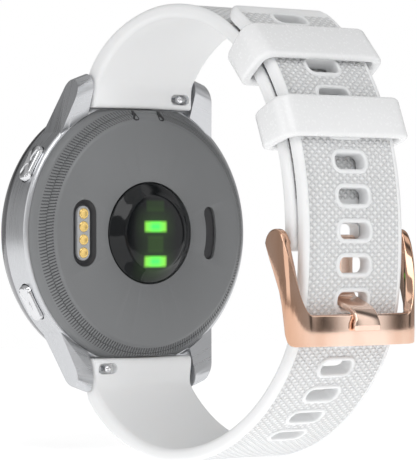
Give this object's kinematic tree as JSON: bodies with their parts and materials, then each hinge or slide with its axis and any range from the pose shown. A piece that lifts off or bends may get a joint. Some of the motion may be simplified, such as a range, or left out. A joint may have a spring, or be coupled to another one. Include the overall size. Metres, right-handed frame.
{
  "type": "gps running watch",
  "caption": "Round sports watch seen with its case back, in a silver case with lugs and side buttons, on a textured white band closed by a rose gold pin buckle.",
  "frame": {"origin": "middle of the wrist that the band goes round, level with the case axis", "axes": "+Z towards twelve o'clock, +X towards three o'clock where the buttons are, +Y from the display through the case back to the wrist"},
  "size_m": [0.0404, 0.0601, 0.0648],
  "materials": {
    "silver": "satin brushed",
    "rim": "dark polished",
    "glass_black": "polished black glass",
    "grey_shell": "satin",
    "silicone": "matte",
    "gloss_silicone": "gloss",
    "rose_gold": "polished rose gold plating",
    "contact_gold": "gold plated",
    "steel": "satin",
    "seal_rubber": "matte",
    "black_plastic": "matte",
    "pale_plastic": "satin",
    "board": "satin",
    "led": "lit green",
    "cell_foil": "foil"
  },
  "bodies": {
    "case": {"case_body": "silver", "bezel_ring": "rim", "display_lens": "glass_black", "sensor_dome": "glass_black", "back_cover": "grey_shell", "charge_contact_1": "contact_gold", "charge_contact_2": "contact_gold", "charge_contact_3": "contact_gold", "charge_contact_4": "contact_gold", "vibration_motor": "steel", "shield_can": "steel", "pressure_sensor": "steel", "upper_button_spring": "steel", "lower_button_spring": "steel", "upper_bar_tube": "steel", "upper_bar_fixed_tip": "steel", "upper_bar_spring": "steel", "lower_bar_tube": "steel", "lower_bar_fixed_tip": "steel", "lower_bar_spring": "steel", "lens_gasket": "seal_rubber", "back_cover_gasket": "seal_rubber", "upper_button_seal": "seal_rubber", "lower_button_seal": "seal_rubber", "display_panel": "black_plastic", "inner_frame": "black_plastic", "vent_grille": "black_plastic", "upper_button_switch": "black_plastic", "lower_button_switch": "black_plastic", "photodiode": "black_plastic", "oximeter_sensor": "black_plastic", "gps_antenna": "pale_plastic", "contact_block": "pale_plastic", "main_board": "board", "sensor_board": "board", "led_upper": "led", "led_lower": "led", "battery": "cell_foil"},
    "upper_button_body": {"upper_button": "silver", "upper_button_clip": "steel"},
    "lower_button_body": {"lower_button": "silver", "lower_button_clip": "steel"},
    "upper_release": {"upper_bar_release": "steel"},
    "lower_release": {"lower_bar_release": "steel"},
    "band": {"upper_strap": "silicone", "lower_strap": "silicone", "buckle_pin": "rose_gold"},
    "lower_keeper_body": {"lower_keeper": "gloss_silicone"},
    "upper_keeper_body": {"upper_keeper": "gloss_silicone"},
    "buckle": {"buckle_frame": "rose_gold"},
    "tongue": {"buckle_tongue": "rose_gold"}
  },
  "joints": [
    {"name": "upper_button_press", "type": "slide", "parent": "case", "child": "upper_button_body", "axis": [-0.866, 0, -0.5], "range_m": [0, 0.0005], "stiffness_N_per_m": 600, "springref_m": -0.001, "deforming": ["upper_button_spring"]},
    {"name": "lower_button_press", "type": "slide", "parent": "case", "child": "lower_button_body", "axis": [-0.866, 0, 0.5], "range_m": [0, 0.0005], "stiffness_N_per_m": 600, "springref_m": -0.001, "deforming": ["lower_button_spring"]},
    {"name": "upper_bar_release_slide", "type": "slide", "parent": "case", "child": "upper_release", "axis": [1, 0, 0], "range_m": [0, 0.0011], "stiffness_N_per_m": 300, "springref_m": -0.001, "deforming": ["upper_bar_spring"]},
    {"name": "lower_bar_release_slide", "type": "slide", "parent": "case", "child": "lower_release", "axis": [-1, 0, 0], "range_m": [0, 0.0011], "stiffness_N_per_m": 300, "springref_m": -0.001, "deforming": ["lower_bar_spring"]},
    {"name": "band_pivot", "type": "hinge", "parent": "case", "child": "band", "pos_m": [0, -0.02375, 0.01995], "axis": [1, 0, 0], "range_deg": [-6, 6], "stiffness_Nm_per_rad": 0.8, "deforming": ["lower_strap"]},
    {"name": "lower_keeper_slide", "type": "hinge", "parent": "band", "child": "lower_keeper_body", "pos_m": [0, -0.0106, 0.00213], "axis": [1, 0, 0], "range_deg": [-6.5, 3.6]},
    {"name": "upper_keeper_slide", "type": "hinge", "parent": "band", "child": "upper_keeper_body", "pos_m": [0, -0.0053, 0.00529], "axis": [1, 0, 0], "range_deg": [-4, 5]},
    {"name": "buckle_frame_tilt", "type": "hinge", "parent": "band", "child": "buckle", "pos_m": [0, 0.02235, -0.0013], "axis": [1, 0, 0], "range_deg": [-4, 0]},
    {"name": "buckle_tongue_tilt", "type": "hinge", "parent": "band", "child": "tongue", "pos_m": [0, 0.02235, -0.0013], "axis": [1, 0, 0], "range_deg": [0, 2.5]}
  ]
}
